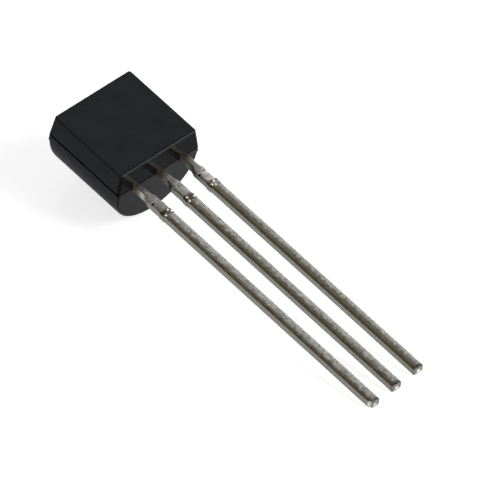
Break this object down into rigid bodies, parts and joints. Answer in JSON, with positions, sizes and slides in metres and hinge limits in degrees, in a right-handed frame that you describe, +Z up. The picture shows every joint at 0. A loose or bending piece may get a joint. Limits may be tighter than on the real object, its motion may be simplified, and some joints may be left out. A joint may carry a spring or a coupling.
{
  "type": "to-92 transistor",
  "caption": "Small transistor in a black flat-fronted, round-backed moulded case, with straight tinned leads in one row.",
  "frame": {"origin": "centre of the object's box in X and Y, at the level of the surface that it lies on", "axes": "+X across the three leads from the emitter to the base, +Y along the object from the lead tips to the closed end of the body, +Z up, with the flat face on top"},
  "size_m": [0.0044, 0.0188, 0.0041],
  "materials": {
    "case_plastic": "satin black moulded epoxy",
    "tinned_lead": "dull tin plate on stamped copper alloy",
    "silicon": "polished",
    "solder": "dull",
    "bond_wire": "bright drawn gold"
  },
  "bodies": {
    "root": {"moulded_body": "case_plastic", "emitter_lead": "tinned_lead", "collector_lead": "tinned_lead", "base_lead": "tinned_lead", "silicon_die": "silicon", "die_solder": "solder", "emitter_wire": "bond_wire", "base_wire": "bond_wire"}
  },
  "joints": []
}
